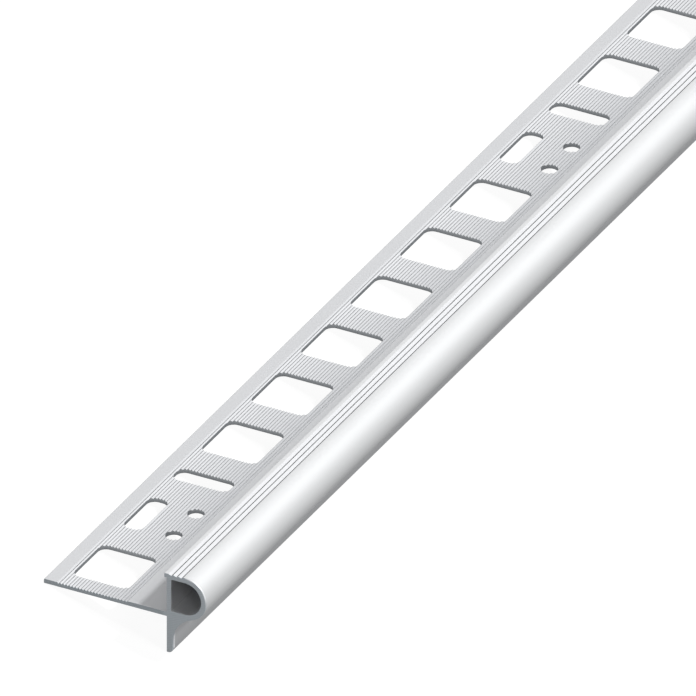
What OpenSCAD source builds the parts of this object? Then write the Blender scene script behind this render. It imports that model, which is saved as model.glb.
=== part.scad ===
// Stair nosing: one bar of drawn aluminium edging for tiled steps, lying as it
// comes to rest on a level floor. Millimetres. Its length runs along Y, Z is up.
//
// The section is drawn as the bar is fitted: x runs from the outer edge of the
// tile leg to the front of the round nose, y is the height above the leg. It is
// then turned by rest_tilt, so that the bar lies on its two lower edges.

/* [Show] */
// Which node to draw

/* [Length] */
// Length of the bar
bar_length = 1000; // [300:1:2500]

/* [Tile leg] */
// Width from the outer edge to the face that the tile meets
leg_width = 31; // [26:0.1:60]
// Thickness of the leg
leg_thickness = 1.1; // [0.8:0.05:1.4]
// Distance of the first fine groove from the outer edge
first_groove = 3.72; // [2:0.01:4.5]
// Distance from one fine groove to the next
groove_pitch = 0.778; // [0.75:0.001:0.9]
// Width of a fine groove at its mouth
groove_width = 0.68; // [0.3:0.01:0.7]
// Depth of the fine grooves
groove_depth = 0.27; // [0.1:0.01:0.4]
// Number of fine grooves
groove_count = 23; // [5:1:24]

/* [Nose] */
// Height from the top of the leg to the top of the nose
tile_height = 10; // [9.6:0.1:12.5]
// Distance from the face that the tile meets to the front of the nose
nose_reach = 10; // [9.8:0.1:14]
// Outer radius of the round nose
nose_radius = 5.4; // [5.2:0.05:5.6]
// Wall of the nose
nose_wall = 1.3; // [1:0.05:1.8]
// Thickness of the upright wall between the tile and the hollow nose
web_thickness = 1.15; // [0.9:0.05:1.6]
// Overhang of the lip above the edge of the tile
lip_overhang = 0.6; // [0.3:0.05:1.5]
// Thickness of the lip
lip_thickness = 1.1; // [0.8:0.05:1.6]
// Distance of the first grip groove's bottom from the face that the tile meets
first_grip = 1.19; // [0.9:0.01:1.2]
// Distance from one grip groove to the next
grip_pitch = 1.26; // [1.24:0.01:1.3]
// Width of a grip groove at its mouth
grip_width = 1.19; // [0.6:0.01:1.2]
// Width of the groove's steep side, which looks back at the tile
grip_steep_width = 0.45; // [0.3:0.01:0.6]
// Depth of the grip grooves
grip_depth = 0.3; // [0.1:0.01:0.45]
// Number of grip grooves
grip_count = 3; // [1:1:3]

/* [Lower leg] */
// Drop of the lower leg below the top of the tile leg
lower_drop = 10.4; // [9.8:0.1:20]
// Thickness of the lower leg
lower_thickness = 1.6; // [1.5:0.05:2]
// Rounding of the outer corner at the tip
tip_radius = 1.2; // [0.5:0.05:1.2]
// Radius of the hollow between the lower leg and the nose
gusset_radius = 7; // [4:0.1:7.2]

/* [Small edges] */
// Rounding of the edges of the leg and the lip, and of the inner tip corner
edge_radius = 0.2; // [0.1:0.05:0.3]

/* [Punching] */
// Length after which the punched pattern comes again
group_length = 180; // [180:0.1:260]
// Distance of the first square opening from the front end
first_square = 4.6; // [2:0.1:8]
// Length of a square opening along the bar
square_length = 15; // [10:0.1:15.5]
// Distance from one square opening to the next
square_pitch = 23.75; // [20:0.05:23.8]
// Number of square openings in a group
squares_in_group = 6; // [2:1:6]
// Distance of the square openings and slots from the outer edge
punch_inset = 4.4; // [3:0.1:6]
// Width of the square openings across the leg
punch_width = 14.4; // [11:0.1:15]
// Corner rounding of the square openings and slots
punch_corner = 2.1; // [0.5:0.05:2.4]
// Distance from the first square to the long slot that follows it
slot_offset = 23.9; // [23:0.05:24.5]
// Length of the long slot
slot_length = 14.4; // [12:0.1:15]
// Width of the long slot, and of the cross slot along the bar
slot_width = 5.1; // [4.9:0.05:5.5]
// Distance from the first square to the cross slot
cross_offset = 47.45; // [47:0.05:48]
// Diameter of the round fixing holes
hole_diameter = 3.9; // [3:0.1:5]
// Distance from the first square to the middle of the first hole of a pair
hole_offset = 25.7; // [25:0.05:27]
// Distance between the two holes of a pair
hole_spacing = 10.6; // [8:0.1:11]
// Distance of the holes from the outer edge
hole_inset = 16.9; // [14:0.1:18]

/* [Hidden] */
$fn = 96;
aluminium_tone = [0.84, 0.85, 0.87];
overlap = 0.5;

// Section
nose_mid_x = leg_width + nose_reach - nose_radius;
nose_mid_y = tile_height - nose_radius;
chamber_radius = nose_radius - nose_wall;
chamber_x = leg_width + web_thickness;
lower_face_x = leg_width + lower_thickness;
lip_x = leg_width - lip_overhang;
tip_mid_x = lower_face_x - tip_radius;
tip_mid_y = tip_radius - lower_drop;
gusset_x = lower_face_x + gusset_radius;
gusset_run = gusset_x - nose_mid_x;
gusset_y = nose_mid_y - sqrt(pow(nose_radius + gusset_radius, 2) - pow(gusset_run, 2));

// Rest: the line that touches both lower edges is laid level
rest_tilt = atan2(lower_drop - leg_thickness, leg_width);
function turned_x(x, y) = x * cos(rest_tilt) - y * sin(rest_tilt);
function turned_y(x, y) = x * sin(rest_tilt) + y * cos(rest_tilt);
rest_low = turned_y(edge_radius, edge_radius - leg_thickness) - edge_radius;
rest_left = turned_x(edge_radius, -edge_radius) - edge_radius;
rest_right = turned_x(nose_mid_x, nose_mid_y) + nose_radius;
rest_middle = (rest_left + rest_right) / 2;

// Punching: the places of all whole openings that fit on the bar
last_group = ceil(bar_length / group_length);
square_lead = group_length - (squares_in_group - 1) * square_pitch;
function fits(start, length) = start > 0 && start + length < bar_length;
square_starts = [
    for (group = [-1 : last_group])
        for (i = [0 : squares_in_group - 1])
            let (start = first_square + group * group_length + square_lead + i * square_pitch)
                if (fits(start, square_length)) start
];
slot_starts = [
    for (group = [0 : last_group])
        let (start = first_square + slot_offset + group * group_length)
            if (fits(start, slot_length)) start
];
cross_starts = [
    for (group = [0 : last_group])
        let (start = first_square + cross_offset + group * group_length)
            if (fits(start, slot_width)) start
];
hole_places = [
    for (group = [0 : last_group])
        let (start = first_square + hole_offset + group * group_length)
            if (fits(start, hole_spacing + hole_diameter))
                each [start, start + hole_spacing]
];

// The quarter of a disc that lies up and to the right, then turned
module quarter_disc(radius, turn) {
    rotate(turn)
        intersection() {
            circle(r = radius);
            square(radius);
        }
}

module tile_leg_section() {
    half_mouth = groove_width / 2;
    groove_points = [
        for (i = [groove_count - 1 : -1 : 0])
            let (x = first_groove + i * groove_pitch)
                each [[x + half_mouth, 0], [x, -groove_depth], [x - half_mouth, 0]]
    ];
    polygon(concat(
        [[edge_radius, -leg_thickness]],
        [[leg_width + overlap, -leg_thickness], [leg_width + overlap, 0]],
        groove_points,
        [[edge_radius, 0]]
    ));
    translate([0, edge_radius - leg_thickness])
        square([edge_radius, leg_thickness - 2 * edge_radius]);
    translate([edge_radius, -edge_radius])
        quarter_disc(edge_radius, 90);
    translate([edge_radius, edge_radius - leg_thickness])
        quarter_disc(edge_radius, 180);
}

module web_and_lip_section() {
    translate([leg_width, -overlap])
        square([nose_mid_x - leg_width, tile_height + overlap]);
    translate([lip_x, tile_height - lip_thickness])
        square([lip_overhang + overlap, lip_thickness - edge_radius]);
    translate([lip_x + edge_radius, tile_height - lip_thickness])
        square([lip_overhang + overlap, lip_thickness]);
    translate([lip_x + edge_radius, tile_height - edge_radius])
        quarter_disc(edge_radius, 90);
}

module round_nose_section() {
    translate([nose_mid_x, nose_mid_y])
        intersection() {
            circle(r = nose_radius);
            translate([0, -nose_radius])
                square([nose_radius, 2 * nose_radius]);
        }
}

module chamber_section() {
    translate([chamber_x, nose_mid_y - chamber_radius])
        square([nose_mid_x - chamber_x, 2 * chamber_radius]);
    translate([nose_mid_x, nose_mid_y])
        intersection() {
            circle(r = chamber_radius);
            translate([0, -chamber_radius])
                square([chamber_radius, 2 * chamber_radius]);
        }
}

module lower_leg_section() {
    translate([leg_width, tip_mid_y])
        square([lower_thickness, -tip_mid_y]);
    translate([leg_width, edge_radius - lower_drop])
        square([tip_mid_x - leg_width, tip_radius]);
    translate([leg_width + edge_radius, -lower_drop])
        square([tip_mid_x - leg_width - edge_radius, tip_radius]);
    translate([leg_width + edge_radius, edge_radius - lower_drop])
        quarter_disc(edge_radius, 180);
    translate([tip_mid_x, tip_mid_y])
        quarter_disc(tip_radius, 270);
}

// The thickening between the lower leg and the nose, hollow towards the front
module gusset_section() {
    difference() {
        polygon([
            [lower_face_x - overlap, gusset_y],
            [gusset_x, gusset_y],
            [nose_mid_x, nose_mid_y],
            [lower_face_x - overlap, nose_mid_y]
        ]);
        translate([gusset_x, gusset_y])
            circle(r = gusset_radius);
    }
}

module grip_grooves_section() {
    gentle_width = grip_width - grip_steep_width;
    for (i = [0 : grip_count - 1])
        translate([leg_width + first_grip + i * grip_pitch, tile_height])
            polygon([
                [0, -grip_depth],
                [grip_steep_width * 2, grip_depth],
                [-gentle_width * 2, grip_depth]
            ]);
}

module section() {
    difference() {
        union() {
            tile_leg_section();
            web_and_lip_section();
            round_nose_section();
            lower_leg_section();
            gusset_section();
        }
        chamber_section();
        grip_grooves_section();
    }
}

module rounded_opening(length, width, corner) {
    translate([corner, 0])
        square([width - 2 * corner, length]);
    translate([0, corner])
        square([width, length - 2 * corner]);
    for (x = [corner, width - corner])
        for (y = [corner, length - corner])
            translate([x, y])
                circle(r = corner);
}

// All openings of the leg, seen from above, from the front end on
module punched_openings() {
    for (start = square_starts)
        translate([punch_inset, start])
            rounded_opening(square_length, punch_width, punch_corner);
    for (start = slot_starts)
        translate([punch_inset, start])
            rounded_opening(slot_length, slot_width, punch_corner);
    for (start = cross_starts)
        translate([punch_inset, start])
            rounded_opening(slot_width, punch_width, punch_corner);
    for (place = hole_places)
        translate([hole_inset, place])
            circle(d = hole_diameter);
}

module nosing() {
    color(aluminium_tone)
        translate([-rest_middle, -bar_length / 2, -rest_low])
            rotate([0, -rest_tilt, 0])
                difference() {
                    translate([0, bar_length, 0])
                        rotate([90, 0, 0])
                            linear_extrude(height = bar_length)
                                section();
                    translate([0, 0, -leg_thickness - overlap])
                        linear_extrude(height = leg_thickness + 2 * overlap)
                            punched_openings();
                }
}

nosing();
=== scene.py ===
import math

import bpy
from mathutils import Matrix, Vector


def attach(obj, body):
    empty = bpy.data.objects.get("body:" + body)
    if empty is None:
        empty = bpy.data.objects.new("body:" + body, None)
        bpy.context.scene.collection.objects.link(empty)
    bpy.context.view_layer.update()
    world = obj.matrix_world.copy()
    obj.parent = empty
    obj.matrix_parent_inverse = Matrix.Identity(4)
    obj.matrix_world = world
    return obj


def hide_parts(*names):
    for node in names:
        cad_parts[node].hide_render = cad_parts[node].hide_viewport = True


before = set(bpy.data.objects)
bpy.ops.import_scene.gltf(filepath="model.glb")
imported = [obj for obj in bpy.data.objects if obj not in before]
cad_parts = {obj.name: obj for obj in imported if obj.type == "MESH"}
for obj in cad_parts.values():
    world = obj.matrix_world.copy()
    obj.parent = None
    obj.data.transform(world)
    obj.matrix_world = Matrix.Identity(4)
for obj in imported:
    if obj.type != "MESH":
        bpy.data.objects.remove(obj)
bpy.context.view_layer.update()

bpy.ops.object.select_all(action="DESELECT")  # the loaded bar comes selected

mm = 0.001       # in metres
perMetre = 1000  # mm in a metre

# the section in mm as the bar is fitted: x across from the leg's outer edge,
# z up from the top of the leg, y along the bar
profile = {
    "length": 1000.0,
    "legWidth": 31.0,
    "legThickness": 1.1,
    "firstGroove": 3.72,      # x of the bottom of the first fine groove
    "groovePitch": 0.778,
    "grooveWidth": 0.68,
    "grooveDepth": 0.27,
    "grooves": 23,
    "tileHeight": 10.0,
    "noseReach": 10.0,
    "noseRadius": 5.4,
    "noseWall": 1.3,
    "webThickness": 1.15,
    "lipOverhang": 0.6,
    "lipThickness": 1.1,
    "firstGrip": 1.19,        # from the leg's inner end to the bottom of the first grip groove
    "gripPitch": 1.26,
    "gripWidth": 1.19,
    "gripSteepWidth": 0.45,   # the part of it on the side that looks back at the tile
    "gripDepth": 0.3,
    "grips": 3,
    "lowerDrop": 10.4,
    "lowerThickness": 1.6,
    "tipRadius": 1.2,
    "gussetRadius": 7.0,      # the hollow rounding between the lower leg and the nose
    "edgeRadius": 0.2,
    "brokenEdge": 0.2,        # the cut edge of the nose, broken with a file
    "brokenLower": 0.6,       # share of it on the lower leg
    "brokenElsewhere": 0.25,  # and on all other cut edges
    "brokenSegments": 2,
    "filedFrom": -9.3,        # the front edge of the lower leg is filed to a narrow strip from here
    "filedTo": -5.3,          # up to here
    "filedStart": 0.42,       # how far its near side is pulled away from the cut end
    "filedEnd": 0.85,         # and its far side
    "degreesPerStep": 5,
    "edgeSegments": 5,
    "tipSegments": 8,
    "smoothAngle": 20,        # sharper edges than this keep their line
}

# the punched pattern in mm, from the front end on
punching = {
    "groupLength": 180.0,
    "firstSquare": 4.6,
    "squareLength": 15.0,
    "squarePitch": 23.75,
    "squaresInGroup": 6,
    "inset": 4.4,
    "width": 14.4,
    "corner": 2.1,
    "cornerSegments": 8,
    "slotOffset": 23.9,
    "slotLength": 14.4,
    "slotWidth": 5.1,
    "crossOffset": 47.45,
    "holeDiameter": 3.9,
    "holeSides": 32,
    "holeOffset": 25.7,
    "holeSpacing": 10.6,
    "holeInset": 16.9,
    "through": 3.0,           # height of the punches
}

restTilt = math.atan2(profile["lowerDrop"] - profile["legThickness"], profile["legWidth"])
noseMidX = profile["legWidth"] + profile["noseReach"] - profile["noseRadius"]
noseMidZ = profile["tileHeight"] - profile["noseRadius"]
lipX = profile["legWidth"] - profile["lipOverhang"]
lowerFaceX = profile["legWidth"] + profile["lowerThickness"]


def fittedToRest(x, y, z):
    # the bar lies turned about its length, on its two lower edges
    c, s = math.cos(restTilt), math.sin(restTilt)
    return Vector((x * c - z * s, y, x * s + z * c))


def shiftAtRest():
    # where the leg's outer top corner comes to lie, in mm
    r = profile["edgeRadius"]
    left = fittedToRest(r, 0, -r).x - r
    right = fittedToRest(noseMidX, 0, noseMidZ).x + profile["noseRadius"]
    low = fittedToRest(r, 0, r - profile["legThickness"]).z - r
    return Vector((-(left + right) / 2, 0, -low))


restShift = shiftAtRest()
print("frame loaded, rest tilt", round(math.degrees(restTilt), 2), "shift", restShift)


def hexToLinear(text):
    # from an sRGB colour such as #CDCED0
    channels = [int(text[i:i + 2], 16) / 255 for i in (1, 3, 5)]
    linear = [c / 12.92 if c <= 0.04045 else ((c + 0.055) / 1.055) ** 2.4 for c in channels]
    return (*linear, 1.0)


def shade(text, factor):
    # the same colour made lighter or darker
    channels = [int(text[i:i + 2], 16) for i in (1, 3, 5)]
    return "#" + "".join("%02X" % min(255, round(channel * factor)) for channel in channels)


def addNode(tree, kind, settings=None, links=None):
    node = tree.nodes.new(kind)
    for name, value in (settings or {}).items():
        if isinstance(name, int) or name in node.inputs:
            node.inputs[name].default_value = value
        else:
            setattr(node, name, value)
    for name, source in (links or {}).items():
        tree.links.new(source, node.inputs[name])
    return node


def addNoise(tree, place, scale, detail):
    settings = {"Scale": scale, "Detail": detail}
    return addNode(tree, "ShaderNodeTexNoise", settings, {"Vector": place}).outputs["Fac"]


def addShare(tree, value, low, high):
    # 0 where the value is low, 1 where it is high
    settings = {"From Min": low, "From Max": high}
    return addNode(tree, "ShaderNodeMapRange", settings, {"Value": value}).outputs[0]


def addRange(tree, share, low, high):
    # low where the share is 0, high where it is 1
    settings = {"To Min": low, "To Max": high}
    return addNode(tree, "ShaderNodeMapRange", settings, {"Value": share}).outputs[0]


def newMaterial(name):
    material = bpy.data.materials.new(name)
    material.use_nodes = True
    material.node_tree.nodes.clear()
    return material, material.node_tree


cameraValues = {
    "azimuth": 27.79,              # degrees round from the bar's length
    "elevation": 30.93,            # degrees down on the leg
    "pixelsPerMm": 4.476,
    "cornerPixel": (43.8, 578.6),  # the leg's outer top corner at the front end
    "photoPixels": 696,
    "distance": 1.5,               # in metres, as the next one
    "clipEnd": 20,
}


def addCamera():
    v = cameraValues
    a, e = math.radians(v["azimuth"]), math.radians(v["elevation"])
    right = fittedToRest(math.cos(a), math.sin(a), 0)
    up = fittedToRest(-math.sin(a) * math.sin(e), math.cos(a) * math.sin(e), math.cos(e))
    back = right.cross(up)
    metresPerPixel = mm / v["pixelsPerMm"]
    half = v["photoPixels"] / 2
    corner = Vector((restShift.x, -profile["length"] / 2, restShift.z)) * mm
    centre = corner + right * ((half - v["cornerPixel"][0]) * metresPerPixel)
    centre += up * ((v["cornerPixel"][1] - half) * metresPerPixel)
    data = bpy.data.cameras.new("photoCamera")
    data.type = "ORTHO"
    data.ortho_scale = v["photoPixels"] * metresPerPixel
    data.clip_end = v["clipEnd"]
    camera = bpy.data.objects.new("photoCamera", data)
    bpy.context.collection.objects.link(camera)
    turn = Matrix((right, up, back)).transposed().to_4x4()
    camera.matrix_world = Matrix.Translation(centre + back * v["distance"]) @ turn
    bpy.context.scene.camera = camera
    print("camera", camera.location)


# What each face is made of and how it was worked; some colours and fades are painted light or shade, as
# marked there. A fade names an axis of the fitted section, where on it the fade starts and ends in mm, and
# the colour it ends in.
finish = {
    "metallic": 0.45,
    "roughness": 0.65,
    "roughnessSpread": 0.05,
    "specular": 0.1,
    "specularTint": "#707274",
    "contrast": 0.006,             # of the die lines and the clouds
    "gripContrast": 0.012,
    "drawnLineMm": 0.5,            # real die lines are about 0.05 mm apart, too fine to show
    "drawnLineLengthMm": 600.0,
    "drawnLineHeightMm": 0.001,
    "cloudMm": 30.0,               # slow changes of tone in the anodised layer

    "legColour": "#CDCED0",        # as drawn, then anodised
    "lowerTipPaintedShade": ("Z", -6.5, -10, "#AFB0B2"),      # painted shade: darker towards the lower leg's tip
    "noseColour": "#CECFD0",       # the nose's colour, a little whiter than the leg's
    "underNosePaintedShade": ("Z", 6, 0.5, "#BBBCBD"),        # painted shade: darker on the nose's underside
    "noseTopPaintedLight": ("X", 37.6, 35.8, "#D7D8D9"),      # painted light: lighter on top of the nose
    "gripPaintedShadeColour": "#636466",       # steep sides of the grip grooves, dark as painted shade
    "ridgeColour": "#C9CACC",      # crests and near sides of the fine ridges
    "ridgePaintedShadeNearWeb": ("X", 3, 22, "#ABACAE"),      # painted shade: ridges darker towards the web, where the nose keeps light off
    "firstRidgePaintedShade": ("X", 4.1, 3.9, "#C1C2C4"),     # painted shade: the first ridge darker, so the first groove looks faintest
    "ridgeBackPaintedShadeColour": "#7C7D7F",  # their backs, dark as painted shade
    # painted light: the backs lighter towards the web
    "ridgeBackPaintedLightNearWeb": ("X", 3, 22, "#D3D5D7"),
    "chamberFloorPaintedLightColour": "#D9DADC",    # painted light: the chamber's floor lighter than the leg
    # painted shade: the chamber darker up its walls
    "chamberWallPaintedShade": ("Z", 0.6, 6, "#BABBBD"),

    "sawnColour": "#C2C9CE",
    "sawnLeg": ("X", 30.5, 29.5, "#B3BABF"),      # the thin leg's end face is a little darker
    "sawnShades": (0.965, 1.025),
    "sawnRoughness": (0.58, 0.68),
    "sawMiddle": (-0.04, 0.13),    # x and z of the saw blade's middle, in metres
    "sawLineMm": 0.45,             # real saw marks are about 0.1 mm apart, too fine to show
    "sawLineHeightMm": 0.003,

    "filedColour": "#D3D5D8",      # bare and bright
    # painted shade: the rim darker past its top
    "filedTopPaintedShade": ("X", 36.8, 38.6, "#BABCBF"),
    "filedFrontPaintedHighlight": ("X", 39.5, 40.5, "#EAECEE"),   # painted highlight: brightest at the front of the nose's rim
    # painted shade: the rim darker low down
    "filedLowPaintedShade": ("Z", 6.4, 4.6, "#B3B5B8"),
    "stripPaintedHighlightColour": "#E2E3E5",      # filed bare metal, lighter still as a painted highlight
    "filedShades": (0.96, 1.02),
    "filedMetallic": 0.8,
    "filedRoughness": (0.35, 0.5),
    "fileLineMm": 0.3,             # real file scratches are about 0.1 mm apart, too fine to show
    "fileLineHeightMm": 0.002,

    # the wall tones below are darker than bare metal, partly as painted shade inside the openings
    "shearedColour": "#96999C",    # upper part of a punched wall, smooth bare metal
    "tornColour": "#8B8E91",       # lower part, where the metal tore
    "tornFootShade": 0.85,         # darker still at the very foot
    "tornShares": (0.2, 0.5),      # where the torn part starts and ends, as shares of the wall's height
    "shearedShare": 0.6,           # where the smooth part starts
    "unevenMm": 0.4,               # how far the border between them goes up and down
    "punchedMetallic": 1.0,
    "punchedRoughness": (0.75, 0.55),
    "shearLineMm": 0.35,
    "shearLineStretch": 0.15,      # the marks are longer from top to bottom
    "shearLineHeightMm": 0.01,
}


def aluminiumShader(tree, colour, roughness, marks, heightMm, metallic):
    settings = {"Strength": 1.0, "Distance": heightMm * mm}
    bump = addNode(tree, "ShaderNodeBump", settings, {"Height": marks})
    shader = addNode(tree, "ShaderNodeBsdfPrincipled", {
        "Metallic": metallic,
        "Specular IOR Level": finish["specular"],
        "Specular Tint": hexToLinear(finish["specularTint"]),
    }, {"Base Color": colour, "Roughness": roughness, "Normal": bump.outputs[0]})
    addNode(tree, "ShaderNodeOutputMaterial", {}, {"Surface": shader.outputs[0]})


def toneRamp(tree, factor, stops):
    ramp = addNode(tree, "ShaderNodeValToRGB", {}, {"Fac": factor})
    elements = ramp.color_ramp.elements
    while len(elements) < len(stops):
        elements.new(0.5)  # anywhere, as each is placed below
    for element, (position, colour) in zip(elements, stops):
        element.position = position
        element.color = hexToLinear(colour)
    return ramp.outputs["Color"]


def fittedPlace(tree, place):
    # x, y and z as the bar is fitted, in metres
    fitted = addNode(tree, "ShaderNodeMapping", {
        "vector_type": "TEXTURE", "Location": restShift * mm, "Rotation": (0, -restTilt, 0),
    }, {"Vector": place})
    return addNode(tree, "ShaderNodeSeparateXYZ", {}, {"Vector": fitted.outputs[0]})


def addFade(tree, place, tone, fade):
    axis, start, end, colour = fade
    share = addShare(tree, fittedPlace(tree, place).outputs[axis], start * mm, end * mm)
    # the mix node's sockets for colours come after those for numbers and vectors
    factor, first, second, result = 0, 6, 7, 2
    settings = {"data_type": "RGBA", second: hexToLinear(colour)}
    mix = addNode(tree, "ShaderNodeMix", settings, {factor: share, first: tone})
    return mix.outputs[result]


def anodisedAluminium(name, colour, contrast, fades=()):
    # satin, matt and even: faint lines along the bar from the die, slow clouds of tone
    material, tree = newMaterial(name)
    place = addNode(tree, "ShaderNodeTexCoord").outputs["Object"]
    across = perMetre / finish["drawnLineMm"]
    along = perMetre / finish["drawnLineLengthMm"]
    stretched = addNode(tree, "ShaderNodeMapping", {"Scale": (across, along, across)}, {"Vector": place})
    lines = addNoise(tree, stretched.outputs[0], scale=1.0, detail=3.0)
    clouds = addNoise(tree, place, scale=perMetre / finish["cloudMm"], detail=2.0)
    both = addNode(tree, "ShaderNodeMath", {"operation": "ADD"}, {0: lines, 1: clouds})
    low, high = 0.6, 1.4  # the sum of two noises hardly ever leaves this range
    tone = toneRamp(tree, addShare(tree, both.outputs[0], low, high), [
        (0.0, shade(colour, 1 - contrast)), (1.0, shade(colour, 1 + contrast)),
    ])
    for fade in fades:
        tone = addFade(tree, place, tone, fade)
    base, spread = finish["roughness"], finish["roughnessSpread"]
    rough = addRange(tree, lines, base - spread, base + spread)
    aluminiumShader(tree, tone, rough, lines, finish["drawnLineHeightMm"], finish["metallic"])
    return material


def sawnAluminium():
    # the cut ends: bare metal with faint arcs from the teeth of a large saw blade
    material, tree = newMaterial("sawnAluminium")
    place = addNode(tree, "ShaderNodeTexCoord").outputs["Object"]
    middleX, middleZ = finish["sawMiddle"]
    centred = addNode(tree, "ShaderNodeMapping", {"Location": (-middleX, 0, -middleZ)}, {"Vector": place})
    # the ring pattern has a period of pi / 10 at scale 1
    arcs = addNode(tree, "ShaderNodeTexWave", {
        "wave_type": "RINGS", "rings_direction": "Y",
        "Scale": math.pi / 10 * perMetre / finish["sawLineMm"],
        "Distortion": 1.5, "Detail": 2.0, "Detail Scale": 0.6,
    }, {"Vector": centred.outputs[0]}).outputs["Fac"]
    dark, light = finish["sawnShades"]
    tone = toneRamp(tree, arcs, [
        (0.0, shade(finish["sawnColour"], dark)), (1.0, shade(finish["sawnColour"], light)),
    ])
    tone = addFade(tree, place, tone, finish["sawnLeg"])
    rough = addRange(tree, arcs, *finish["sawnRoughness"])
    aluminiumShader(tree, tone, rough, arcs, finish["sawLineHeightMm"], finish["metallic"])
    return material


def filedAluminium(name, colour, fades=()):
    # the broken edges: bare metal with fine scratches from the file, brighter than what is anodised
    material, tree = newMaterial(name)
    place = addNode(tree, "ShaderNodeTexCoord").outputs["Object"]
    scratches = addNoise(tree, place, scale=perMetre / finish["fileLineMm"], detail=2.0)
    low, high = 0.3, 0.7  # one noise hardly ever leaves this range
    dark, light = finish["filedShades"]
    tone = toneRamp(tree, scratches, [(low, shade(colour, dark)), (high, shade(colour, light))])
    for fade in fades:
        tone = addFade(tree, place, tone, fade)
    rough = addRange(tree, scratches, *finish["filedRoughness"])
    aluminiumShader(tree, tone, rough, scratches, finish["fileLineHeightMm"], finish["filedMetallic"])
    return material


def punchedAluminium():
    # walls of the openings: smooth where the punch sheared, duller below where the metal tore, and darker
    # than bare metal, partly as painted shade
    material, tree = newMaterial("punchedAluminium")
    place = addNode(tree, "ShaderNodeTexCoord").outputs["Object"]
    height = fittedPlace(tree, place).outputs["Z"]
    across = perMetre / finish["shearLineMm"]
    upward = across * finish["shearLineStretch"]
    upright = addNode(tree, "ShaderNodeMapping", {"Scale": (across, across, upward)}, {"Vector": place})
    marks = addNoise(tree, upright.outputs[0], scale=1.0, detail=2.0)
    # the border between both parts runs unevenly round the opening
    uneven = finish["unevenMm"] * mm
    settings = {"operation": "MULTIPLY_ADD", 1: uneven, 2: -uneven / 2}
    offset = addNode(tree, "ShaderNodeMath", settings, {0: marks})
    level = addNode(tree, "ShaderNodeMath", {"operation": "ADD"}, {0: height, 1: offset.outputs[0]})
    share = addShare(tree, level.outputs[0], -profile["legThickness"] * mm, 0.0)
    tornStart, tornEnd = finish["tornShares"]
    tone = toneRamp(tree, share, [
        (0.0, shade(finish["tornColour"], finish["tornFootShade"])),
        (tornStart, finish["tornColour"]),
        (tornEnd, finish["tornColour"]),
        (finish["shearedShare"], finish["shearedColour"]),
    ])
    rough = addRange(tree, share, *finish["punchedRoughness"])
    aluminiumShader(tree, tone, rough, marks, finish["shearLineHeightMm"], finish["punchedMetallic"])
    return material


def makeMaterials():
    f = finish
    contrast = f["contrast"]
    return {
        # the drawn leg darkens towards the lower tip as painted shade
        "drawn": anodisedAluminium("drawnAnodisedAluminium", f["legColour"], contrast, [f["lowerTipPaintedShade"]]),
        # the nose darkens underneath and lightens on top: painted shade and painted light
        "noseLitShaded": anodisedAluminium("noseAluminiumPaintedLightShade", f["noseColour"], contrast,
                                     [f["underNosePaintedShade"], f["noseTopPaintedLight"]]),
        "sawn": sawnAluminium(),
        # the steep sides of the grip grooves are dark as painted shade
        "gripBack": anodisedAluminium("paintedShadeGripAluminium", f["gripPaintedShadeColour"], f["gripContrast"]),
        # the ridges darken towards the web and on the first ridge: painted shade
        "ridge": anodisedAluminium("ridgedAnodisedAluminium", f["ridgeColour"], contrast,
                                   [f["ridgePaintedShadeNearWeb"], f["firstRidgePaintedShade"]]),
        # the ridge backs are dark as painted shade, and lighten towards the web as painted light
        "ridgeBack": anodisedAluminium("ridgeBackPaintedShadeAluminium", f["ridgeBackPaintedShadeColour"], contrast,
                                       [f["ridgeBackPaintedLightNearWeb"]]),
        # the filed rim is lighter and darker round the nose: painted highlight and painted shade
        "filed": filedAluminium("filedAluminium", f["filedColour"],
                                [f["filedTopPaintedShade"], f["filedFrontPaintedHighlight"], f["filedLowPaintedShade"]]),
        # the filed strip is lighter still as a painted highlight
        "filedStrip": filedAluminium("paintedHighlightFiledAluminium", f["stripPaintedHighlightColour"]),
        # the chamber's floor is lighter and its walls darker: painted light and painted shade
        "chamber": anodisedAluminium("chamberPaintedLightShadeAluminium", f["chamberFloorPaintedLightColour"], contrast,
                                     [f["chamberWallPaintedShade"]]),
        "punched": punchedAluminium(),
    }


# the bar, modelled in mm as it is fitted and then laid down

penMm = 0.1       # size of the plane that becomes the pen
weldMm = 0.002    # points closer together than this become one
closeMm = 0.01    # how far a point may be from where it is looked for
slackMm = 0.02    # the same for the middle of a face
looksAlong = 0.9  # a face looks along an axis when its normal has more of it than this
leansTo = 0.3     # it leans to the axis from here on
liesAlong = 0.1   # and it lies along the axis when its normal has less of it than this


def drawOutline(name, y, start, runs):
    # a plane merged to one corner is the pen, which is pulled along the section
    bpy.ops.mesh.primitive_plane_add(size=penMm, location=(start[0], y, start[1]))
    outline = bpy.context.object
    outline.name = name
    bpy.ops.object.mode_set(mode="EDIT")
    bpy.ops.mesh.select_mode(type="VERT")
    bpy.ops.mesh.select_all(action="SELECT")
    bpy.ops.mesh.merge(type="CENTER")
    pen = Vector((start[0], start[1]))
    for run in runs:
        if run[0] == "line":
            goal = Vector(run[1:])
            step = goal - pen
            bpy.ops.mesh.extrude_region_move(TRANSFORM_OT_translate={"value": (step.x, 0, step.y)})
        else:
            middle, angle = Vector(run[1:3]), math.radians(run[3])
            steps = math.ceil(abs(run[3]) / profile["degreesPerStep"])
            bpy.ops.mesh.spin(steps=steps, angle=angle, center=(middle.x, y, middle.y), axis=(0, 1, 0))
            goal = middle + Matrix.Rotation(angle, 2) @ (pen - middle)
        pen = goal
    bpy.ops.mesh.select_all(action="SELECT")
    bpy.ops.mesh.remove_doubles(threshold=weldMm)
    bpy.ops.mesh.edge_face_add()
    bpy.ops.object.mode_set(mode="OBJECT")
    bpy.ops.object.transform_apply(location=True, rotation=True, scale=True)
    return outline


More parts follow.
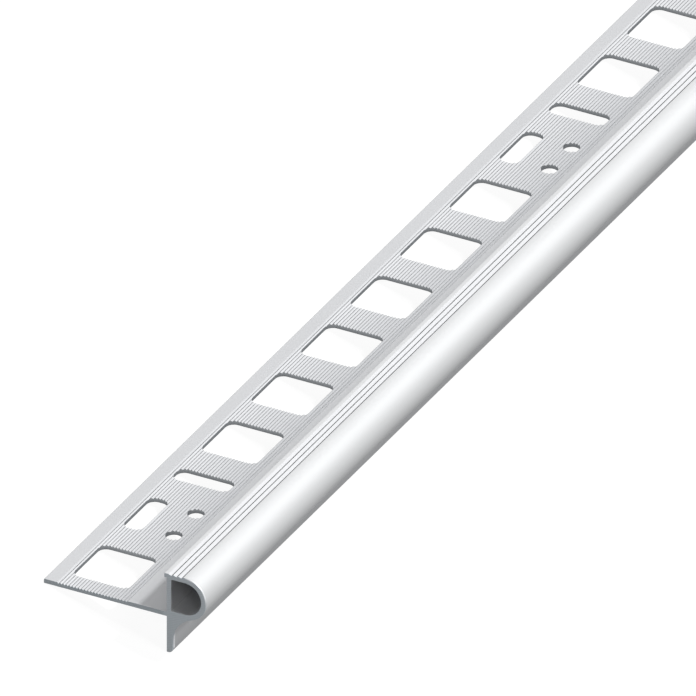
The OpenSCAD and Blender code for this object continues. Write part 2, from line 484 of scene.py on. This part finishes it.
def startSelection(kind):
    bpy.ops.object.mode_set(mode="EDIT")
    bpy.ops.mesh.select_mode(type=kind)
    bpy.ops.mesh.select_all(action="DESELECT")
    bpy.ops.object.mode_set(mode="OBJECT")


def selectPoints(piece, wanted):
    startSelection("VERT")
    for vertex in piece.data.vertices:
        vertex.select = wanted(vertex.co)
    bpy.ops.object.mode_set(mode="EDIT")


def selectEdges(piece, wanted):
    startSelection("EDGE")
    for edge in piece.data.edges:
        a, b = (piece.data.vertices[i].co for i in edge.vertices)
        edge.select = wanted(edge, a, b)
    bpy.ops.object.mode_set(mode="EDIT")


def selectFaces(piece, wanted):
    startSelection("FACE")
    for face in piece.data.polygons:
        face.select = wanted(face)
    bpy.ops.object.mode_set(mode="EDIT")


def giveMaterial(piece, material, wanted):
    selectFaces(piece, wanted)
    piece.active_material_index = piece.data.materials.find(material.name)
    bpy.ops.object.material_slot_assign()
    bpy.ops.object.mode_set(mode="OBJECT")


def roundCorners(piece, corners, radius, segments):
    selectPoints(piece, lambda co: any(math.dist((co.x, co.z), corner) < closeMm for corner in corners))
    bpy.ops.mesh.bevel(offset=radius, segments=segments, affect="VERTICES")
    bpy.ops.object.mode_set(mode="OBJECT")


def pullAlong(length):
    bpy.ops.object.mode_set(mode="EDIT")
    bpy.ops.mesh.select_all(action="SELECT")
    bpy.ops.mesh.extrude_region_move(TRANSFORM_OT_translate={"value": (0, length, 0)})
    bpy.ops.mesh.select_all(action="SELECT")
    bpy.ops.mesh.normals_make_consistent(inside=False)
    bpy.ops.object.mode_set(mode="OBJECT")


def gripBottom(number):
    return profile["legWidth"] + profile["firstGrip"] + number * profile["gripPitch"]


lastGripEnd = gripBottom(profile["grips"] - 1) + profile["gripSteepWidth"]


def barRuns():
    # the section's outline, from the leg's outer lower corner round to it again
    p = profile
    gussetX = lowerFaceX + p["gussetRadius"]
    reach = p["noseRadius"] + p["gussetRadius"]
    gussetZ = noseMidZ - math.sqrt(reach ** 2 - (gussetX - noseMidX) ** 2)
    touch = math.degrees(math.atan2(noseMidZ - gussetZ, noseMidX - gussetX))
    runs = [
        ("line", p["legWidth"], -p["legThickness"]),
        ("line", p["legWidth"], -p["lowerDrop"]),
        ("line", lowerFaceX, -p["lowerDrop"]),
        ("line", lowerFaceX, gussetZ),
        ("arc", gussetX, gussetZ, touch - 180),
        ("arc", noseMidX, noseMidZ, 270 - touch),
    ]
    for i in reversed(range(p["grips"])):
        x = gripBottom(i)
        runs.append(("line", x + p["gripSteepWidth"], p["tileHeight"]))
        runs.append(("line", x, p["tileHeight"] - p["gripDepth"]))
        runs.append(("line", x + p["gripSteepWidth"] - p["gripWidth"], p["tileHeight"]))
    runs.append(("line", lipX, p["tileHeight"]))
    runs.append(("line", lipX, p["tileHeight"] - p["lipThickness"]))
    runs.append(("line", p["legWidth"], p["tileHeight"] - p["lipThickness"]))
    runs.append(("line", p["legWidth"], 0))
    for i in reversed(range(p["grooves"])):
        x = p["firstGroove"] + i * p["groovePitch"]
        runs.append(("line", x + p["grooveWidth"] / 2, 0))
        runs.append(("line", x, -p["grooveDepth"]))
        runs.append(("line", x - p["grooveWidth"] / 2, 0))
    runs.append(("line", 0, 0))
    runs.append(("line", 0, -p["legThickness"]))
    return runs


def makeChamber():
    p = profile
    beyond = 5  # the cutter sticks out of both ends
    left = p["legWidth"] + p["webThickness"]
    radius = p["noseRadius"] - p["noseWall"]
    low, high = noseMidZ - radius, noseMidZ + radius
    chamber = drawOutline("chamberCutter", -beyond, (left, low), [
        ("line", noseMidX, low),
        ("arc", noseMidX, noseMidZ, 180),
        ("line", left, high),
        ("line", left, low),
    ])
    pullAlong(p["length"] + 2 * beyond)
    return chamber


def makePunch(name, start, width, length):
    # one punch with rounded corners: start and length run along the bar
    p = punching
    middle = (p["inset"] + width / 2, start + length / 2, -profile["legThickness"] / 2)
    bpy.ops.mesh.primitive_cube_add(size=1, location=middle, scale=(width, length, p["through"]))
    punch = bpy.context.object
    punch.name = name
    bpy.ops.object.transform_apply(location=True, rotation=True, scale=True)
    selectEdges(punch, lambda edge, a, b: abs(a.z - b.z) > p["through"] / 2)
    bpy.ops.mesh.bevel(offset=p["corner"], segments=p["cornerSegments"], affect="EDGES")
    bpy.ops.object.mode_set(mode="OBJECT")
    return punch


def makeHolePunch(start):
    p = punching
    middle = (p["holeInset"], start, -profile["legThickness"] / 2)
    bpy.ops.mesh.primitive_cylinder_add(vertices=p["holeSides"], radius=p["holeDiameter"] / 2,
                                        depth=p["through"], location=middle)
    return bpy.context.object


def repeatPunch(punch, starts):
    # the first copy stays where it was made, the others are moved along the bar
    copies = [punch]
    for start in starts[1:]:
        bpy.ops.object.select_all(action="DESELECT")
        punch.select_set(True)
        bpy.context.view_layer.objects.active = punch
        bpy.ops.object.duplicate_move(TRANSFORM_OT_translate={"value": (0, start - starts[0], 0)})
        copies.append(bpy.context.object)
    return copies


def startsOf(offsets, length):
    # the places of all whole openings that fit on the bar
    starts = []
    for group in range(-1, 1 + math.ceil(profile["length"] / punching["groupLength"])):
        for offset in offsets:
            start = punching["firstSquare"] + offset + group * punching["groupLength"]
            if start > 0 and start + length < profile["length"]:
                starts.append(start)
    return starts


def makePunches():
    p = punching
    lead = p["groupLength"] - (p["squaresInGroup"] - 1) * p["squarePitch"]
    squareOffsets = [lead + i * p["squarePitch"] for i in range(p["squaresInGroup"])]
    squares = startsOf(squareOffsets, p["squareLength"])
    slots = startsOf([p["slotOffset"]], p["slotLength"])
    crosses = startsOf([p["crossOffset"]], p["slotWidth"])
    pairs = startsOf([p["holeOffset"]], p["holeSpacing"] + p["holeDiameter"])
    holes = sorted(pairs + [start + p["holeSpacing"] for start in pairs])
    copies = repeatPunch(makePunch("squarePunch", squares[0], p["width"], p["squareLength"]), squares)
    copies += repeatPunch(makePunch("slotPunch", slots[0], p["slotWidth"], p["slotLength"]), slots)
    copies += repeatPunch(makePunch("crossPunch", crosses[0], p["width"], p["slotWidth"]), crosses)
    copies += repeatPunch(makeHolePunch(holes[0]), holes)
    bpy.ops.object.select_all(action="DESELECT")
    for copy in copies:
        copy.select_set(True)
    bpy.context.view_layer.objects.active = copies[0]
    bpy.ops.object.join()
    bpy.ops.object.transform_apply(location=True, rotation=True, scale=True)
    print("squares", len(squares), "slots", len(slots), "crosses", len(crosses), "holes", len(holes))
    return copies[0]


def cutAway(bar, cutter, material):
    cutter.data.materials.clear()
    cutter.data.materials.append(material)
    bpy.ops.object.select_all(action="DESELECT")
    bar.select_set(True)
    bpy.context.view_layer.objects.active = bar
    bpy.ops.object.modifier_add(type="BOOLEAN")
    cut = bar.modifiers[-1]
    cut.operation = "DIFFERENCE"
    cut.solver = "EXACT"
    cut.material_mode = "TRANSFER"
    cut.object = cutter
    bpy.ops.object.modifier_apply(modifier=cut.name)
    bpy.data.objects.remove(cutter)


def isEnd(face):
    return abs(face.normal.y) > looksAlong


def isNose(face):
    # the round of the nose and the lip
    if abs(face.normal.y) > liesAlong:
        return False
    out = Vector((face.center.x - noseMidX, face.center.z - noseMidZ))
    onRound = out.x > 0 and out.length < profile["noseRadius"] + slackMm
    return onRound or face.center.z > profile["tileHeight"] - profile["lipThickness"] + closeMm


def inGripGroove(face):
    deep = profile["tileHeight"] - face.center.z
    return profile["legWidth"] < face.center.x < lastGripEnd and slackMm < deep < profile["gripDepth"]


def isGripBack(face):
    # the steep sides of the grip grooves
    return inGripGroove(face) and face.normal.x < -leansTo


def isGripFront(face):
    # the gentle sides of the grip grooves
    return inGripGroove(face) and face.normal.x > leansTo


def onRidges(face):
    p = profile
    first = p["firstGroove"] - p["grooveWidth"] / 2
    last = p["firstGroove"] + (p["grooves"] - 0.5) * p["groovePitch"]
    looksUp = face.center.z > -p["grooveDepth"] and face.normal.z > liesAlong
    return first < face.center.x < last and looksUp


def isRidgeBack(face):
    # the sides of the fine ridges that look back at the leg's outer edge
    return onRidges(face) and face.normal.x < -leansTo


def isRidge(face):
    # the crests and the near sides of the fine ridges
    return onRidges(face) and face.normal.x > -liesAlong and abs(face.normal.y) < liesAlong


def isFiled(face):
    # the broken edge of the nose that a file reaches from above and from the front
    lowest = -0.05   # how far the face may look down
    cutEnd = 0.95    # only the cut end itself looks more along the bar than this
    onNose = face.center.x > noseMidX and face.normal.x > 0 and face.normal.z > lowest
    return onNose and liesAlong < abs(face.normal.y) < cutEnd


def isFiledStrip(face):
    p = profile
    deep = min(face.center.y, p["length"] - face.center.y)
    inStrip = p["filedStart"] < deep < p["filedEnd"] + p["brokenEdge"]
    return inStrip and p["filedFrom"] < face.center.z < p["filedTo"]


def cutPart(middle):
    # which part of the section's outline an edge of the cut end belongs to
    p = profile
    out = math.hypot(middle.x - noseMidX, middle.z - noseMidZ)
    outside = out > p["noseRadius"] - p["noseWall"] / 2
    if outside and middle.x > lastGripEnd and middle.z > noseMidZ - p["noseRadius"]:
        return "nose"
    onLower = -closeMm / 2 < middle.x - p["legWidth"] < p["lowerThickness"] + closeMm / 2
    if onLower and middle.z < -p["legThickness"] - closeMm:
        return "lower"
    return "elsewhere"


def breakEnds(bar, material):
    # the edges of both cut ends: broken most on the nose, which stays in sight
    facesAtEdge = {}
    for face in bar.data.polygons:
        if isEnd(face):
            for key in face.edge_keys:
                facesAtEdge[key] = facesAtEdge.get(key, 0) + 1
    shares = {"nose": 1.0, "lower": profile["brokenLower"], "elsewhere": profile["brokenElsewhere"]}
    for part, share in shares.items():
        selectEdges(bar, lambda edge, a, b: facesAtEdge.get(edge.key) == 1 and cutPart((a + b) / 2) == part)
        bpy.ops.transform.edge_bevelweight(value=share)
        bpy.ops.object.mode_set(mode="OBJECT")
    bpy.ops.object.modifier_add(type="BEVEL")
    broken = bar.modifiers[-1]
    broken.limit_method = "WEIGHT"
    broken.width = profile["brokenEdge"]
    broken.segments = profile["brokenSegments"]
    broken.material = bar.data.materials.find(material.name)
    broken.use_clamp_overlap = False
    bpy.ops.object.modifier_apply(modifier=broken.name)


def fileLowerLeg(bar):
    # both rings of points round the broken edge are pulled along the bar, the outer one first
    p = profile
    middleX = p["legWidth"] + p["lowerThickness"] / 2
    # the inner ring is 0.29 of the broken edge's width deep, the outer one all of it
    between = p["brokenEdge"] * p["brokenLower"] / 3
    rings = [(between, p["brokenEdge"], p["filedEnd"]), (closeMm / 2, between, p["filedStart"])]
    for end, way in ((0, 1), (p["length"], -1)):
        for near, far, pull in rings:
            selectPoints(bar, lambda co: near < (co.y - end) * way < far and co.x > middleX
                         and p["filedFrom"] < co.z < p["filedTo"])
            bpy.ops.transform.translate(value=(0, way * pull, 0))
            bpy.ops.object.mode_set(mode="OBJECT")


def layDown(bar):
    bar.location = (restShift.x * mm, -profile["length"] / 2 * mm, restShift.z * mm)
    bar.rotation_euler = (0, -restTilt, 0)
    bar.scale = (mm, mm, mm)
    bpy.ops.object.transform_apply(location=True, rotation=True, scale=True)


def makeBar():
    p = profile
    materials = makeMaterials()
    print("materials", len(materials))

    bar = drawOutline("nosingBar", 0, (0, -p["legThickness"]), barRuns())
    for name in ("drawn", "noseLitShaded", "sawn", "gripBack", "ridge", "ridgeBack", "filed", "filedStrip"):
        bar.data.materials.append(materials[name])
    small = [(0, 0), (0, -p["legThickness"]), (lipX, p["tileHeight"]), (p["legWidth"], -p["lowerDrop"])]
    roundCorners(bar, small, p["edgeRadius"], p["edgeSegments"])
    roundCorners(bar, [(lowerFaceX, -p["lowerDrop"])], p["tipRadius"], p["tipSegments"])
    pullAlong(p["length"])
    print("section pulled along the bar", len(bar.data.polygons), "faces")

    giveMaterial(bar, materials["noseLitShaded"], isNose)
    giveMaterial(bar, materials["sawn"], isEnd)
    giveMaterial(bar, materials["drawn"], isGripFront)
    giveMaterial(bar, materials["gripBack"], isGripBack)
    giveMaterial(bar, materials["ridge"], isRidge)
    giveMaterial(bar, materials["ridgeBack"], isRidgeBack)

    cutAway(bar, makeChamber(), materials["chamber"])
    breakEnds(bar, materials["sawn"])
    fileLowerLeg(bar)
    giveMaterial(bar, materials["filed"], isFiled)
    giveMaterial(bar, materials["filedStrip"], isFiledStrip)
    print("ends finished", len(bar.data.polygons), "faces")
    cutAway(bar, makePunches(), materials["punched"])

    bpy.ops.object.shade_smooth_by_angle(angle=math.radians(p["smoothAngle"]))
    bpy.ops.object.modifier_add(type="WEIGHTED_NORMAL")
    bar.modifiers[-1].keep_sharp = True
    bpy.ops.object.modifier_apply(modifier=bar.modifiers[-1].name)

    layDown(bar)
    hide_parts("nosing")
    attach(bar, "root")
    bpy.ops.object.select_all(action="DESELECT")
    print("bar", len(bar.data.vertices), "points", len(bar.data.polygons), "faces")


# floor, background and light

studio = {
    "floorSize": 12,           # in metres
    "floorColour": "#646464",
    "floorGlow": 0.93,         # how white the floor is by itself to rays that see the background
    "white": "#FFFFFF",
    "lampDistance": 0.8,       # in metres
}

# each lamp: degrees up from the front of the nose, degrees along the bar,
# strength, where 1 lights a white surface that faces it to white, and width in degrees
lamps = {
    "keyLamp": (57, 18, 0.66, 7),
    "middleLamp": (46, 0, 0.37, 12),
    "topLamp": (90, 50, 0.175, 30),
    "frontLamp": (50, -43, 0.10, 30),
}


def backgroundRays(tree):
    # 1 for rays from the camera and from shiny or clear surfaces, 0 for all others
    rays = addNode(tree, "ShaderNodeLightPath").outputs
    first = addNode(tree, "ShaderNodeMath", {"operation": "MAXIMUM"},
                    {0: rays["Is Camera Ray"], 1: rays["Is Glossy Ray"]})
    second = addNode(tree, "ShaderNodeMath", {"operation": "MAXIMUM"},
                     {0: first.outputs[0], 1: rays["Is Transmission Ray"]})
    return second.outputs[0]


def addWorld():
    world = bpy.data.worlds.new("whiteStudio")
    world.use_nodes = True
    tree = world.node_tree
    tree.nodes.clear()
    white = {"Color": hexToLinear(studio["white"])}
    background = addNode(tree, "ShaderNodeBackground", white, {"Strength": backgroundRays(tree)})
    addNode(tree, "ShaderNodeOutputWorld", {}, {"Surface": background.outputs[0]})
    # the background lights nothing matt, so looking for it as a lamp adds nothing but speckle
    world.cycles.sampling_method = "NONE"
    bpy.context.scene.world = world


def addFloor():
    bpy.ops.mesh.primitive_plane_add(size=studio["floorSize"], location=(0, 0, 0))
    floor = bpy.context.object
    floor.name = "floor"
    # matt and pale, and as white as the background to those rays that see the background
    material, tree = newMaterial("paleFloor")
    glow = addNode(tree, "ShaderNodeMath", {"operation": "MULTIPLY", 1: studio["floorGlow"]},
                   {0: backgroundRays(tree)})
    paint = addNode(tree, "ShaderNodeBsdfDiffuse", {"Color": hexToLinear(studio["floorColour"])})
    shine = addNode(tree, "ShaderNodeEmission", {"Color": hexToLinear(studio["white"])},
                    {"Strength": glow.outputs[0]})
    both = addNode(tree, "ShaderNodeAddShader", {}, {0: paint.outputs[0], 1: shine.outputs[0]})
    addNode(tree, "ShaderNodeOutputMaterial", {}, {"Surface": both.outputs[0]})
    material.cycles.emission_sampling = "NONE"
    floor.data.materials.append(material)
    bpy.ops.object.select_all(action="DESELECT")


def addLamp(name, up, along, strength, width):
    data = bpy.data.lights.new(name, "SUN")
    data.energy = math.pi * strength
    data.angle = math.radians(width)
    lamp = bpy.data.objects.new(name, data)
    bpy.context.collection.objects.link(lamp)
    up, along = math.radians(up), math.radians(along)
    level = math.cos(along)
    toward = fittedToRest(level * math.cos(up), math.sin(along), level * math.sin(up))
    lamp.rotation_mode = "QUATERNION"
    lamp.rotation_quaternion = toward.to_track_quat("Z", "Y")
    lamp.location = toward * studio["lampDistance"]
    print("lamp", name)


addCamera()
makeBar()
addWorld()
addFloor()
for name, values in lamps.items():
    addLamp(name, *values)
bpy.context.scene.view_settings.view_transform = "Standard"
print("looks done")
